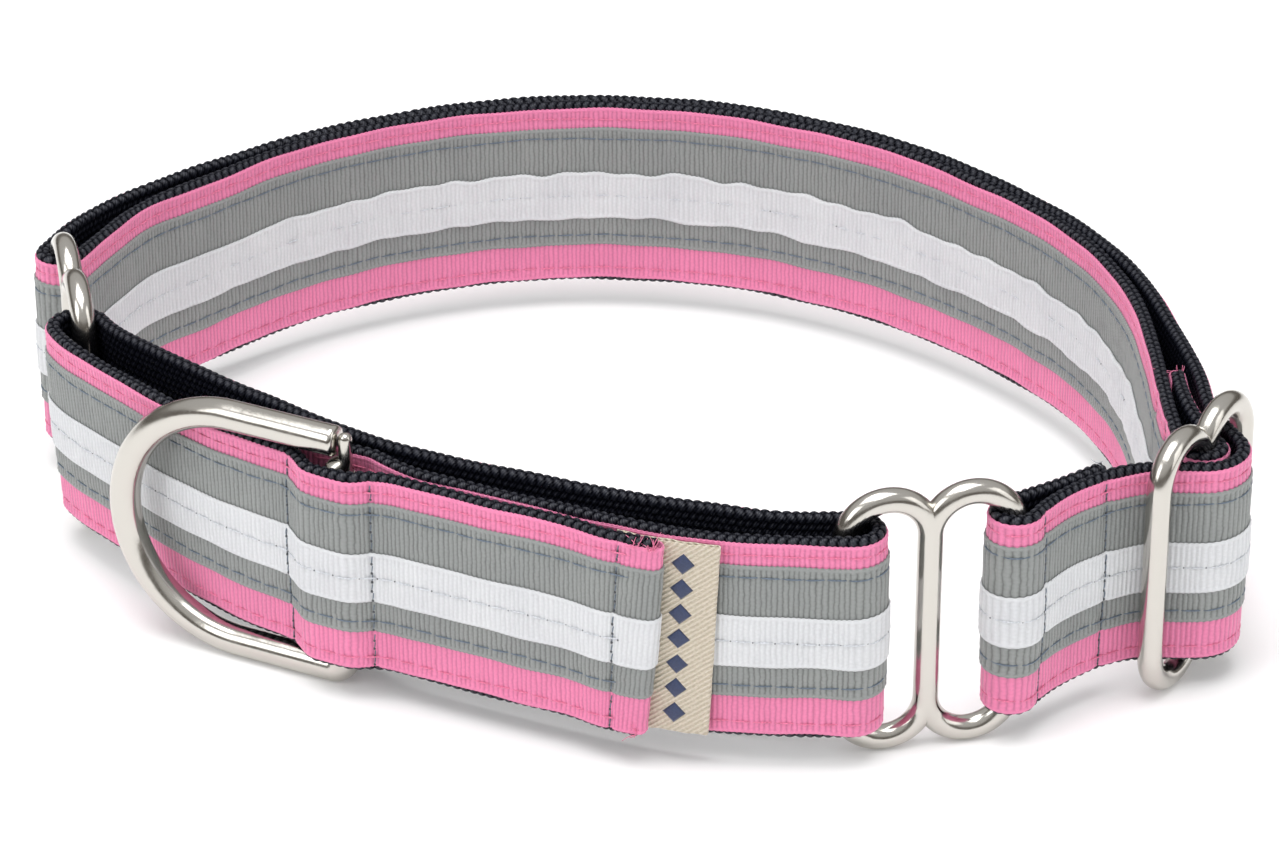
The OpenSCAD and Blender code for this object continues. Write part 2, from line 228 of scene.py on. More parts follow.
def outlines(name):
    """Closed outlines, in plan, of a CAD sheet's solids."""
    mesh = nodes[name].data
    mesh.calc_loop_triangles()
    points = cad_points(name)
    top = points[:, 2].max() - 0.01
    link = {}
    for tri in mesh.loop_triangles:
        high = [tuple(np.round(points[i][:2], 4)) for i in tri.vertices if points[i][2] > top]
        if len(high) == 2 and high[0] != high[1]:
            link.setdefault(high[0], []).append(high[1])
            link.setdefault(high[1], []).append(high[0])
    found = []
    while link:
        outline = [next(iter(link))]
        while True:
            onward = [p for p in link.pop(outline[-1]) if p in link]
            if not onward:
                break
            outline.append(onward[0])
        found.append(np.array(outline))
    return found


def sides(outline):
    """The two long sides of a strap's outline, both running the same way."""
    before = unit(outline - np.roll(outline, 1, 0))
    after = unit(np.roll(outline, -1, 0) - outline)
    corners = list(np.where((before * after).sum(1) < 0.5)[0])
    if corners[1] - corners[0] != 1:
        corners = corners[1:] + corners[:1]
    first = outline[corners[1] : corners[2] + 1]
    count = len(outline)
    last = corners[0] + (count if corners[0] < corners[3] else 0)
    second = outline[np.arange(corners[3], last + 1) % count]
    return first, second[::-1]


def strands(web, ribbon_name):
    """Middle line and outward direction of each strand, measured from the ribbon on its outside."""
    web_points = np.concatenate(outlines(web))
    found = []
    for outline in outlines(ribbon_name):
        pair = sides(outline)
        gaps = [np.median([np.linalg.norm(web_points - p, axis=1).min() for p in side]) for side in pair]
        inner, outer = pair if gaps[0] < gaps[1] else pair[::-1]
        middle = inner - (outer - inner) * (HALF + LAYER_GAP) / RIBBON_T
        out = unit(outer - inner)
        way = middle[1] - middle[0]
        if way[0] * out[0][1] - way[1] * out[0][0] > 0:
            middle, out = middle[::-1], out[::-1]
        found.append((middle, out))
    return found


def chain(pool):
    """One strand from several, joined in the order in which they follow each other."""
    starts = [min(np.linalg.norm(s[0][0] - o[0][-1]) for o in pool if o is not s) for s in pool]
    order = [pool.pop(int(np.argmax(starts)))]
    while pool:
        gaps = [np.linalg.norm(s[0][0] - order[-1][0][-1]) for s in pool]
        order.append(pool.pop(int(np.argmin(gaps))))
    return [np.concatenate([strand[k] for strand in order]) for k in (0, 1)]


class Path:
    """A line in plan at even steps, with the outward direction at each of its points."""

    # A leaning strap stays in place at one height, and leans its full reach this far above it
    LEAN_FOOT = 17.0
    LEAN_RISE = 19.0
    # A slant begins to show at its start and is whole after this length
    SLANT_RUN = 13.0

    def __init__(self, s, p, out, lean=None, slant=None):
        self.s = s
        self.p = p
        self.out = out
        self.length = s[-1]
        self.lean = lean
        self.slant = slant

    def at(self, s, offset, z):
        """Points at lengths s, offset outwards and at heights z."""
        s, offset, z = np.broadcast_arrays(*[np.asarray(v, float) for v in (s, offset, z)])
        p = np.stack([np.interp(s, self.s, self.p[:, k]) for k in (0, 1)], -1)
        out = unit(np.stack([np.interp(s, self.s, self.out[:, k]) for k in (0, 1)], -1))
        xy = p + out * offset[..., None]
        if self.lean is not None:
            centre, way, reach, width = self.lean
            near = bell(np.linalg.norm(xy - centre, axis=-1), width)
            up = (z - self.LEAN_FOOT) / self.LEAN_RISE
            xy = xy + (near * reach * up)[..., None] * way
        if self.slant is not None:
            start, way, reach = self.slant
            back = reach * (1 - z / STRAP_HEIGHT) * smooth(start, start + self.SLANT_RUN, s)
            xy = xy - back[..., None] * way
        return np.concatenate([xy, (z + STRAP_Z)[..., None]], -1)

    def end_way(self):
        """The direction in which the path ends."""
        return np.array([-self.out[-1][1], self.out[-1][0]])

    def folded_over(self, radius, back):
        """The same path with its end turned round the cut end of the webbing, for a ribbon."""
        way = self.end_way()
        arc = math.pi * radius
        extra = np.arange(RIBBON_STEP, arc + back, RIBBON_STEP)
        angle = np.minimum(extra / radius, math.pi)[:, None]
        out = self.out[-1] * np.cos(angle) + way * np.sin(angle)
        p = self.p[-1] - way * np.maximum(extra - arc, 0)[:, None]
        return Path(
            np.concatenate([self.s, self.s[-1] + extra]),
            np.concatenate([self.p, p]),
            np.concatenate([self.out, out]),
            self.lean,
            self.slant,
        )

    def nearest(self, point, first=0.0, last=1.0):
        """Length along the path at its nearest point to one in plan, within shares of its length."""
        part = slice(int(first * (len(self.s) - 1)), int(last * (len(self.s) - 1)) + 1)
        return self.s[part][np.argmin(np.linalg.norm(self.p[part] - np.asarray(point), axis=1))]


def even_path(line, step):
    """A line as a Path with even steps. Outwards is to the right of its way."""
    run = run_along(line)
    s = np.linspace(0, run[-1], int(run[-1] / step) + 1)
    p = np.stack([np.interp(s, run, line[:, k]) for k in (0, 1)], 1)
    way = unit(np.gradient(p, axis=0))
    return Path(s, p, np.stack([way[:, 1], -way[:, 0]], 1))


def strap_path(label):
    """The middle line of a whole strap: a smooth curve through its strands."""
    pool = []
    for half in ("_right", "_left"):
        pool += strands(label + "_webbing" + half, label + "_pink_ribbon" + half)
    middle, out = chain(pool)
    keep = np.concatenate([[True], np.linalg.norm(np.diff(middle, axis=0), axis=1) > 0.2])
    middle, out = middle[keep], out[keep]
    heading = np.stack([-out[:, 1], out[:, 0]], 1)
    pieces = []
    for i in range(len(middle) - 1):
        chord = np.linalg.norm(middle[i + 1] - middle[i])
        t = np.linspace(0, 1, max(3, int(chord / 0.05)), endpoint=False)[:, None]
        pieces.append(
            (2 * t**3 - 3 * t**2 + 1) * middle[i]
            + (t**3 - 2 * t**2 + t) * chord * heading[i]
            + (3 * t**2 - 2 * t**3) * middle[i + 1]
            + (t**3 - t**2) * chord * heading[i + 1]
        )
    return even_path(np.concatenate(pieces + [middle[-1:]]), RIBBON_STEP)


def rows_across(name, path, first=0.0, last=1.0):
    """Lengths along a strap of the frame's rows of stitches across it."""
    between_rows = 4
    groups = []
    for s in sorted(path.nearest(p[:2], first, last) for p in cad_points(name)):
        if not groups or s - groups[-1][-1] > between_rows:
            groups.append([])
        groups[-1].append(s)
    return [float(np.mean(group)) for group in groups]


# ---- Sewn fabric ----
def pinched(s, pinches):
    """How far the rows of stitches across a strap pull it in, at lengths s."""
    depth = 0.38
    width = 0.9
    return sum((depth * bell(s - at, width) for at in pinches), np.zeros(len(s)))


def ribbon_heights(span, rows):
    """Where a ribbon's section has points: close together at its edges and at its stitch rows."""
    heights = {0.0, 0.12, 0.3, 0.5, 0.7, 0.9, 1.15}
    heights |= {span - d for d in heights}
    for row in rows:
        heights |= {row + d for d in (-1.2, -0.55, 0, 0.55, 1.2)}
    heights |= set(np.linspace(1.5, span - 1.5, 5))
    at = np.array(sorted(h for h in heights if 0 <= h <= span))
    return at[np.concatenate([[True], np.diff(at) > 0.08])]


def ribbon(name, path, layer, pinches, edge_wave=None, ripple=None):
    """A ribbed ribbon. Stitch rows along it and, at the lengths in pinches, across it pull it in."""
    s = path.s
    face, (low, high), rows = layer
    wave = np.zeros((2, len(s))) if edge_wave is None else edge_wave(s)
    bottom = low + 0.16 * wobble(s, 3, 21) + wave[0]
    top = high + 0.16 * wobble(s, 4, 26) + wave[1]
    span = high - low
    at = ribbon_heights(span, [row - low for row in rows])
    z = bottom[:, None] + at / span * (top - bottom)[:, None]

    phase = s + 0.16 * wobble(s, 5, 11)
    swing = np.cos(2 * np.pi * phase / RIB_PITCH)[:, None]
    rib = 0.5 - 0.5 * swing
    rib_foot = 0.13
    rib_height = 0.14
    pinch = pinched(s, pinches)[:, None]
    outer = face - rib_foot + rib_height * rib - pinch + 0 * z

    # Each row of stitches lies in a dip, deepest at the needle holes, with a low swell beside it
    dip = 0.16
    swell = 0.05
    swell_distance = 1.3
    row_width = 0.6
    needle = 0.6 + 0.4 * np.cos(2 * np.pi * s / STITCH_PITCH)[:, None]
    for row in rows:
        outer -= dip * needle * bell(z - row, row_width)
        outer += swell * bell(np.abs(z - row) - swell_distance, row_width)

    # The selvedge is a smooth cord along both edges, with a fine groove inside it
    inward = np.minimum(at, span - at)[None, :]
    selvedge = bell(inward - 0.4, 0.3)
    outer += selvedge * (0.03 + 0.04 * (1 - rib))
    outer -= 0.07 * bell(inward - 0.95, 0.2) + 0.12 * bell(inward, 0.2)
    if ripple is not None:
        outer += ripple(s)[:, None]
    tooth = 0.08 * swing[:, 0]
    z[:, 0] -= tooth
    z[:, -1] += tooth

    back = face - RIBBON_T - pinch
    flank = back + 0.12
    offset = np.concatenate([back, flank, outer, flank, back], 1)
    below, above = z[:, :1], z[:, -1:]
    z = np.concatenate([below + 0.1, below - 0.02, z, above + 0.02, above - 0.1], 1)
    # The selvedge's relief lifts it into the painted highlight of the rib tops in the material.
    relief = np.concatenate([[[0, 0]], selvedge, [[0, 0]]], 1) + 0 * z
    return sweep(name, path, s, offset, z, phase, relief)


def beads(s, pitch, roundness):
    """A row of bumps from 0 to 1 with this pitch. A smaller roundness makes their tops flatter."""
    return np.abs(np.sin(np.pi * s / pitch)) ** roundness


def knot_columns(uneven, slow, upper):
    """Columns of points round one edge of the webbing, where two rows of knots alternate."""
    edge_inset = 0.72
    edge_reach = 0.82
    roundness = 0.7
    columns = []
    for a in np.radians(np.linspace(-84, 84, 13)) * (-1 if upper else 1):
        across = HALF * math.sin(a)
        side = 0.5 + 0.5 * math.tanh(across / 0.1)
        slant = uneven + 0.45 * abs(across)
        left = beads(slant, KNOT_PITCH, roundness)
        right = beads(slant + KNOT_PITCH / 2, KNOT_PITCH, roundness)
        knot = left * (1 - side) + right * side
        groove = bell(across, 0.2)
        reach = edge_reach * math.cos(a) ** 0.8 * (0.6 + 0.55 * knot - 0.25 * groove)
        z = STRAP_HEIGHT - edge_inset + reach if upper else edge_inset - reach
        columns.append((across * (0.82 + 0.26 * knot), z + slow, knot * (1 - 0.6 * groove)))
    return columns


def lane_columns(uneven):
    """Columns of points down the webbing's bare side, in lanes that slope up and down by turns."""
    top = 36.9
    foot = 1.0
    yarn_pitch = 0.8 * KNOT_PITCH
    yarn_slope = 1.3
    yarn_depth = 0.4
    roundness = 0.6
    columns = []
    for h in np.arange(top, foot, -LANE_PITCH / 4):
        lane = np.floor(h / LANE_PITCH) % 2 - 0.5
        ridge = beads(h, LANE_PITCH, roundness)
        slope = lane * yarn_slope * (h / LANE_PITCH % 1)
        weave = ridge * beads(uneven + slope, yarn_pitch, roundness)
        offset = -HALF + 0.3 - yarn_depth * (0.3 * ridge + 0.7 * weave)
        columns.append((offset, np.full_like(uneven, h), 0.85 * weave))
    return columns


def webbing(name, path, pinches):
    """Black webbing: herringbone lanes on its bare side and two rows of knots along each edge."""
    s = np.linspace(0, path.length, int(path.length / WEB_STEP) + 1)
    slow = 0.12 * wobble(s, 2, 31)
    uneven = s + 0.25 * wobble(s, 5, 13)
    face = HALF - 0.04 - pinched(s, pinches)
    # Each column's relief sets the painted shade in the hollows and the painted highlight on the yarn tops.
    columns = knot_columns(uneven, slow, False)
    columns += [(face, np.full_like(s, h), np.full_like(s, 0.3)) for h in (1.6, 19, 36.4)]
    columns += knot_columns(uneven, slow, True)
    columns += lane_columns(uneven)
    offset, z, relief = [np.stack([column[k] for column in columns], 1) for k in (0, 1, 2)]
    return sweep(name, path, s, offset, z, None, relief)


def stitch_row(cords, path, face, height, seed, begin):
    """Stitches along a strap. Each dives into the ribbon at both of its ends."""
    rng = np.random.default_rng(seed)
    lie = np.array([-0.2, -0.1, -0.06, -0.05, -0.06, -0.1, -0.2])
    radius = 0.14 * np.array([0.6, 0.95, 1, 1, 1, 0.95, 0.6])
    s = begin
    while s + STITCH_PITCH < path.length - STITCHES_FROM:
        t = s + STITCH_PITCH * np.linspace(0.01, 0.99, 7)
        tilt = np.linspace(-0.05, 0.05, 7) + rng.uniform(-0.03, 0.03)
        z = height + 0.1 * wobble(t, seed, 17) + tilt
        cords.add(path.at(t, face + lie, z), radius)
        s += STITCH_PITCH


def needle_hole(hole_shades, path, s, offset, z, size):
    """The needle hole where the thread goes down, as a short dark stub: painted shade in the hole."""
    heights = z + size * np.array([-1.1, -0.6, 0, 0.6, 1.1])
    hole_shades.add(path.at(s, offset, heights), size * np.array([0.3, 0.85, 1, 0.85, 0.3]))


def cross_stitches(cords, hole_shades, path, s, seed):
    """A row of stitches across a strap at length s: fine thread, and a dark stub in each needle hole as painted
    shade.
    """
    rng = np.random.default_rng(seed)
    lie = np.array([-0.44, -0.34, -0.3, -0.3, -0.34, -0.44])
    radius = 0.11 * np.array([0.6, 1, 1, 1, 1, 0.6])
    usual_pitch = 1.7
    for low, high, face in BANDS:
        count = max(1, int(round((high - low) / usual_pitch)))
        pitch = (high - low) / count
        for i in range(count):
            foot = low + pitch * i
            t = s + rng.uniform(-0.1, 0.1) + np.linspace(-0.08, 0.08, 6)
            z = foot + pitch * np.linspace(0.12, 0.88, 6)
            cords.add(path.at(t, face + lie, z), radius)
            needle_hole(hole_shades, path, t[0], face - 0.42, foot, 0.25)


# ---- Materials ----
class Nodes:
    """Short calls for building the node tree of a material or of the world."""

    def __init__(self, owner, shader="Principled BSDF"):
        owner.use_nodes = True
        self.owner = owner
        self.tree = owner.node_tree
        self.shader = self.tree.nodes[shader]

    def new(self, kind, **settings):
        node = self.tree.nodes.new(kind)
        for key, value in settings.items():
            setattr(node, key, value)
        return node

    def join(self, a, b):
        self.tree.links.new(a, b)

    def set(self, **values):
        """Sets the shader's plain inputs. An underscore stands for a space."""
        for key, value in values.items():
            self.shader.inputs[key.replace("_", " ")].default_value = value

    def place(self):
        return self.new("ShaderNodeTexCoord").outputs["Object"]

    def relief(self):
        return self.new("ShaderNodeAttribute", attribute_name="relief").outputs["Fac"]

    def noise(self, scale, detail, vector):
        node = self.new("ShaderNodeTexNoise")
        node.inputs["Scale"].default_value = scale
        node.inputs["Detail"].default_value = detail
        self.join(vector, node.inputs["Vector"])
        return node.outputs["Fac"]

    def ramp(self, value, stops):
        """A colour for each value, between stops of a position and a colour or a grey level."""
        node = self.new("ShaderNodeValToRGB")
        elements = node.color_ramp.elements
        for element, (position, colour) in zip(elements, (stops[0], stops[-1])):
            element.position = position
            element.color = rgba(colour)
        for position, colour in stops[1:-1]:
            elements.new(position).color = rgba(colour)
        self.join(value, node.inputs["Fac"])
        return node.outputs["Color"]

    def mix(self, blend_type, factor, a, b):
        """Two colours mixed; each of factor, a and b is an output or a plain value."""
        node = self.new("ShaderNodeMix", data_type="RGBA", blend_type=blend_type)
        self.feed(node.inputs["Factor"], factor)
        self.feed(node.inputs[6], a)
        self.feed(node.inputs[7], b)
        return node.outputs[2]

    def feed(self, socket, value):
        """Gives an input either an output to follow or a plain value."""
        if isinstance(value, bpy.types.NodeSocket):
            self.join(value, socket)
        else:
            socket.default_value = value

    def math(self, operation, *values):
        node = self.new("ShaderNodeMath", operation=operation)
        for socket, value in zip(node.inputs, values):
            self.feed(socket, value)
        return node.outputs[0]

    def plus(self, a, b):
        return self.math("ADD", a, b)

    def minus(self, a, b):
        return self.math("SUBTRACT", a, b)

    def times(self, a, b):
        return self.math("MULTIPLY", a, b)

    def sine(self, value, pitch):
        return self.math("SINE", self.times(value, 2 * math.pi / pitch))

    def bump(self, height, strength, distance):
        node = self.new("ShaderNodeBump")
        node.inputs["Strength"].default_value = strength
        node.inputs["Distance"].default_value = distance
        self.join(height, node.inputs["Height"])
        self.join(node.outputs["Normal"], self.shader.inputs["Normal"])

    def combine(self, x, y):
        node = self.new("ShaderNodeCombineXYZ")
        self.join(x, node.inputs["X"])
        self.join(y, node.inputs["Y"])
        return node.outputs["Vector"]

    def strap_axes(self):
        """The strap's texture place, and its parts: length along the strap and height on it."""
        uv = self.new("ShaderNodeUVMap", uv_map="strap").outputs["UV"]
        split = self.new("ShaderNodeSeparateXYZ")
        self.join(uv, split.inputs[0])
        return uv, split.outputs["X"], split.outputs["Y"]


def rgba(colour):
    """A colour, or a grey level, as red, green, blue and alpha."""
    parts = (colour,) * 3 if isinstance(colour, (int, float)) else colour
    return (*parts, 1.0)


def shade(colour, factor):
    """A lighter or darker colour."""
    return tuple(min(1.0, part * factor) for part in colour)


def grosgrain(name, colour, valley_shade, flank):
    """Ribbed ribbon: painted shade between its ribs and a painted highlight on their tops, with fine crossing
    yarns and slow colour drift.
    """
    m = Nodes(bpy.data.materials.new(name))
    uv, along, height = m.strap_axes()

    # Ribs with a slight wander, crossed by the yarns that bind them
    wander = m.times(m.minus(m.noise(0.55, 2.0, uv), 0.5), 0.5)
    swing = m.sine(m.plus(along, wander), 2 * RIB_PITCH)
    rung = m.times(swing, m.sine(height, 0.8))
    rib = m.plus(m.math("ABSOLUTE", swing), m.times(rung, 0.12))
    streak = m.noise(1.0, 1.0, m.combine(m.times(along, 1.15), m.times(height, 0.12)))
    grain = m.noise(2.6, 2.0, uv)
    uneven = m.plus(m.times(streak, 0.5), m.times(grain, 0.35))
    rib = m.plus(rib, m.minus(uneven, 0.44))
    # The raised selvedge takes the painted highlight of the rib tops.
    rib = m.math("MAXIMUM", rib, m.times(m.relief(), 0.95))
    # Painted shade darkens the valleys and flanks of the ribs, and a painted highlight lightens their tops.
    levels = [(0.0, valley_shade), (0.35, flank), (0.75, 0.99), (1.0, 1.05)]
    lit = m.ramp(rib, [(position, shade(colour, level)) for position, level in levels])

    drift = m.ramp(m.noise(90.0, 2.0, m.place()), [(0.3, (0.93, 0.93, 0.94)), (0.7, 1)])
    m.join(m.mix("MULTIPLY", 1.0, lit, drift), m.shader.inputs["Base Color"])

    warp = m.sine(height, 0.34)
    fuzz = m.noise(3.0, 3.0, uv)
    m.bump(m.plus(m.times(warp, 0.35), fuzz), 0.35, 0.00012)
    m.join(m.ramp(fuzz, [(0.3, 0.54), (0.7, 0.7)]), m.shader.inputs["Roughness"])
    m.set(Sheen_Weight=0.25, Sheen_Roughness=0.4, Specular_IOR_Level=0.35)
    return m.owner


def black_web(name):
    """Black polyester yarns: painted shade with no shine in the hollows between them, and a painted highlight with
    more shine on their tops.
    """
    m = Nodes(bpy.data.materials.new(name))
    uv, along, height = m.strap_axes()
    fuzz = m.noise(1.6, 4.0, uv)
    yarn = m.math("SINE", m.plus(m.times(along, 11.0), m.times(height, 7.0)))
    # This value is mostly the relief, which paints shade in the hollows and a highlight on the yarn tops, with
    # fuzz for uneven tone.
    shade_and_wear = m.plus(m.relief(), m.times(m.minus(fuzz, 0.5), 0.5))
    lit = m.plus(shade_and_wear, m.times(yarn, 0.1))
    # Colours from painted shade in the hollows to a painted highlight on the tops; the specular follows them.
    hollow_shade = (0.002, 0.0022, 0.0035)
    side = (0.006, 0.0065, 0.012)
    top = (0.018, 0.02, 0.031)
    m.join(m.ramp(lit, [(0.15, hollow_shade), (0.6, side), (1.0, top)]), m.shader.inputs["Base Color"])
    m.join(m.ramp(lit, [(0.25, 0), (1.0, 0.48)]), m.shader.inputs["Specular IOR Level"])
    m.bump(m.plus(m.times(yarn, 0.5), fuzz), 0.6, 0.00018)
    m.set(Roughness=0.4)
    return m.owner


def thread(name, colour):
    """Twisted thread, with painted shade in the hollows of its twist and painted light on its ridges."""
    m = Nodes(bpy.data.materials.new(name))
    twist = m.noise(2600.0, 2.0, m.place())
    # Painted shade and painted light along the twist.
    twist_shade = m.ramp(twist, [(0.3, shade(colour, 0.72)), (0.7, shade(colour, 1.12))])
    m.join(twist_shade, m.shader.inputs["Base Color"])
    m.bump(twist, 0.6, 0.0001)
    m.set(Roughness=0.5, Sheen_Weight=0.2)
    return m.owner


def nickel(name):
    """Polished plate with faint long waves and hairline marks."""
    m = Nodes(bpy.data.materials.new(name))
    place = m.place()
    cloud = m.noise(260.0, 3.0, place)
    marks = m.noise(1900.0, 4.0, place)
    shade_and_wear = m.plus(m.times(cloud, 0.6), m.times(marks, 0.4))
    m.join(m.ramp(shade_and_wear, [(0.35, 0.13), (0.65, 0.24)]), m.shader.inputs["Roughness"])
    m.bump(m.plus(cloud, m.times(marks, 0.08)), 0.12, 0.0004)
    m.set(Base_Color=rgba((0.56, 0.537, 0.497)), Metallic=1.0)
    return m.owner


def twill_tape(name):
    """Cream cotton tape with a diagonal weave."""
    m = Nodes(bpy.data.materials.new(name))
    uv, along, height = m.strap_axes()
    fuzz = m.noise(2.2, 4.0, uv)
    weave = m.sine(m.plus(m.times(along, 0.8), height), 1.0)
    creams = [(0.25, (0.5, 0.43, 0.32)), (0.5, (0.62, 0.55, 0.44)), (0.8, (0.7, 0.63, 0.52))]
    base = m.ramp(m.plus(m.times(weave, 0.22), fuzz), creams)
    m.join(base, m.shader.inputs["Base Color"])
    m.bump(m.plus(m.times(weave, 0.7), fuzz), 0.7, 0.0003)
    m.set(Roughness=0.85, Sheen_Weight=0.2)
    return m.owner


# ---- Frame ----
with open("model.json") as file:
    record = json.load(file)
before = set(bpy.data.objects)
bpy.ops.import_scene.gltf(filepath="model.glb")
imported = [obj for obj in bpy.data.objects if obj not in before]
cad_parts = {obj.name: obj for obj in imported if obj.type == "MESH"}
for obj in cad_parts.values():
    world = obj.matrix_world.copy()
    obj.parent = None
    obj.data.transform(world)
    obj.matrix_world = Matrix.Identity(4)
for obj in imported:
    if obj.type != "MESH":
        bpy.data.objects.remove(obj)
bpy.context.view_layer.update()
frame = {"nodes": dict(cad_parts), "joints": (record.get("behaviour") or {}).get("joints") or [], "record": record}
nodes = frame["nodes"]
STRAP_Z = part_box("main_webbing_right")[0].z / MM

main = strap_path("main")
loop = strap_path("loop")
# The end of the control loop is cut askew: its foot stands back from its top
loop.slant = (loop.length - Path.SLANT_RUN, loop.end_way(), 3.0)
# The control loop leans outwards a little beside the left slide: centre, way, reach and width
loop.lean = (np.array([-88.0, -22.0]), np.array([-0.8, -0.6]), 1.35, 26.0)

main_rows = rows_across("front_wrap_stitching", main, last=0.5)
main_end_rows = rows_across("adjuster_end_stitching", main, first=0.9)
pocket_rows = rows_across("ring_pocket_stitching", loop, first=0.5)
loop_end_rows = rows_across("loop_end_stitching", loop, first=0.5)

materials = {
    "black_webbing": black_web("black_webbing"),
    # For each ribbon: its colour, then its levels of painted shade in the valleys and on the flanks of its ribs.
    "pink_ribbon": grosgrain("pink_ribbon", (0.79, 0.222, 0.4), 0.74, 0.88),
    "grey_ribbon": grosgrain("grey_ribbon", (0.27, 0.283, 0.275), 0.54, 0.82),
    "white_ribbon": grosgrain("white_ribbon", (0.66, 0.67, 0.685), 0.88, 0.95),
    "pink_thread": thread("pink_thread", (0.76, 0.18, 0.33)),
    "grey_thread": thread("grey_thread", (0.12, 0.16, 0.21)),
    # The darkest thread is painted shade, for the stubs in the needle holes.
    "needle_hole_shade": thread("needle_hole_shade", (0.07, 0.075, 0.085)),
    "white_thread": thread("white_thread", (0.62, 0.64, 0.68)),
    "nickel": nickel("nickel"),
    "cotton_label": twill_tape("cotton_label"),
    "navy_thread": thread("navy_thread", (0.02, 0.035, 0.1)),
}


def paint(obj, material):
    """Gives a piece its material."""
    obj.data.materials.append(materials[material])


def bend_across(obj):
    """Bakes a piece's placement into its mesh."""
    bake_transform(obj)


def bend_main(obj):
    """The main strap's pieces are only baked in place."""
    bend_across(obj)


def bend_loop(obj):
    """The control loop's pieces are only baked in place."""
    bend_across(obj)


inner_from = main.s[np.argmin(main.p[:, 0])]


def inner_share(s, begin, whole):
    """1 on the inner strand, which shows its ribbons to the neck, and 0 elsewhere."""
    ending = smooth(main.length - 90, main.length - 40, s)
    return smooth(inner_from + begin, inner_from + whole, s) * (1 - ending)


def inner_edge_wave(s):
    """The narrow ribbon's edges pucker on the inner strand."""
    inside = inner_share(s, 40, 100)
    return np.stack([0.27 * inside * wobble(s, 8, 15), 0.42 * inside * wobble(s, 9, 13)])


def inner_ripple(s):
    """The narrow ribbon's face ripples on the inner strand."""
    return 0.16 * inner_share(s, 15, 60) * (1 + wobble(s, 12, 9))


def strap(label, path, bend, pinches, seed, white_extras):
    """All layers of one strap. The white ribbon may have waves of its own."""
    parts = [(webbing(label + "_webbing_strap", path, pinches), "black_webbing", "webbing")]
    for colour, *layer in LAYERS:
        part = colour + "_ribbon"
        ribbon_path = path.folded_over(layer[0] - RIBBON_T / 2, 2.4)
        extras = white_extras if colour == "white" else {}
        obj = ribbon(label + "_" + part + "_strap", ribbon_path, layer, pinches, **extras)
        parts.append((obj, part, part))
    for colour, face, _, heights in LAYERS:
        part = colour + "_thread"
        cords = Cords()
        for i, height in enumerate(heights):
            stitch_row(cords, path, face, height, seed + i, STITCHES_FROM + 1.1 * i)
        parts.append((cords.build(label + "_" + part + "_rows"), part, part))
    for obj, slot, part in parts:
        paint(obj, slot)
        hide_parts(label + "_" + part + "_right", label + "_" + part + "_left")
        bend(obj)
    # Dark stubs in the needle holes of the narrow ribbon's row are painted shade.
    hole_shades = Cords()
    for s in np.arange(STITCHES_FROM, path.length - STITCHES_FROM, STITCH_PITCH):
        needle_hole(hole_shades, path, s, WHITE_FACE - 0.13, WHITE_ROW, 0.15)
    holes = hole_shades.build(label + "_needle_holes")
    paint(holes, "needle_hole_shade")
    bend(holes)


white_waves = {"edge_wave": inner_edge_wave, "ripple": inner_ripple}
strap("main", main, bend_main, main_rows + main_end_rows, 20, white_waves)
strap("loop", loop, bend_loop, pocket_rows + loop_end_rows, 40, {})


# ---- Rows of stitches across ----
def cross_rows(place, path, lengths, body):
    """Stitches across the strap at the lengths where the frame has its plain rows."""
    cords = Cords()
    hole_shades = Cords()
    for i, s in enumerate(lengths):
        cross_stitches(cords, hole_shades, path, s, 60 + i)
    name = place + "_cross_stitches"
    rows = cords.build(name)
    paint(rows, "grey_thread")
    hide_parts(place + "_stitching")
    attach(rows, body)
    # Dark stubs in the needle holes are painted shade.
    holes = hole_shades.build(name + "_hole_shades")
    paint(holes, "needle_hole_shade")
    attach(holes, body)


cross_rows("ring_pocket", loop, pocket_rows, "loop_right")
cross_rows("loop_end", loop, loop_end_rows, "loop_right")
cross_rows("front_wrap", main, main_rows, "main_right")
cross_rows("adjuster_end", main, main_end_rows, "main_right")


# ---- Loose fibres ----
def loose_ends(name, slot, body, places, seed):
    """Fine fibres at a cut edge; places are (path, length, offset, height, how many)."""
    rng = np.random.default_rng(seed)
    radius = np.linspace(0.09, 0.05, 7)
    u = np.linspace(0, 1, 7)[:, None]
    cords = Cords(5)
    for path, s, offset, z, count in places:
        root = path.at(s, offset, z)
        for _ in range(count):
            way = rng.normal(0, 1, 3)
            way[2] = abs(way[2]) * 0.9 + 0.2
            droop = rng.normal(0, 0.5, 3)
            length = rng.uniform(0.8, 2.6)
            base = root + rng.normal(0, 0.45, 3) * np.array([1, 1, 0.5])
            cords.add(base + length * (u * unit(way) + u * u * droop * 0.6), radius)
    obj = cords.build(name)
    paint(obj, slot)
    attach(obj, body)


def all_loose_ends():
    """Fibres on the cut ends of the straps that show."""
    loop_spots = [
        (loop, loop.length - 0.2, 1.6, 37.0, 16),
        (loop, loop.length - 3.0, 1.5, 37.1, 9),
        (loop, loop.length, 1.5, 1.2, 7),
    ]
    loose_ends("loop_end_loose_fibres", "pink_thread", "loop_right", loop_spots, 81)
    tail_spots = [(main, 0.3, 0.0, 37.9, 3)]
    loose_ends("tail_loose_fibres", "white_thread", "main_right", tail_spots, 82)
    short_spots = [(main, main.length, 0.5, 37.2, 8)]
    loose_ends("short_end_loose_fibres", "pink_thread", "main_right", short_spots, 83)


# ---- Metal ----
def plate_slides():
    """The three slides keep their CAD shapes and take on the plated look."""
    for name in ("front_slide", "left_slide", "adjuster_slide"):
        node = nodes[name]
        node.data.materials.clear()
        paint(node, "nickel")


def rounded(distance, length):
    """Rises as a quarter circle from 0 at an end to 1 at this length from it."""
    return np.sqrt(np.clip(1 - (1 - np.clip(distance / length, 0, 1)) ** 2, 0, 1))


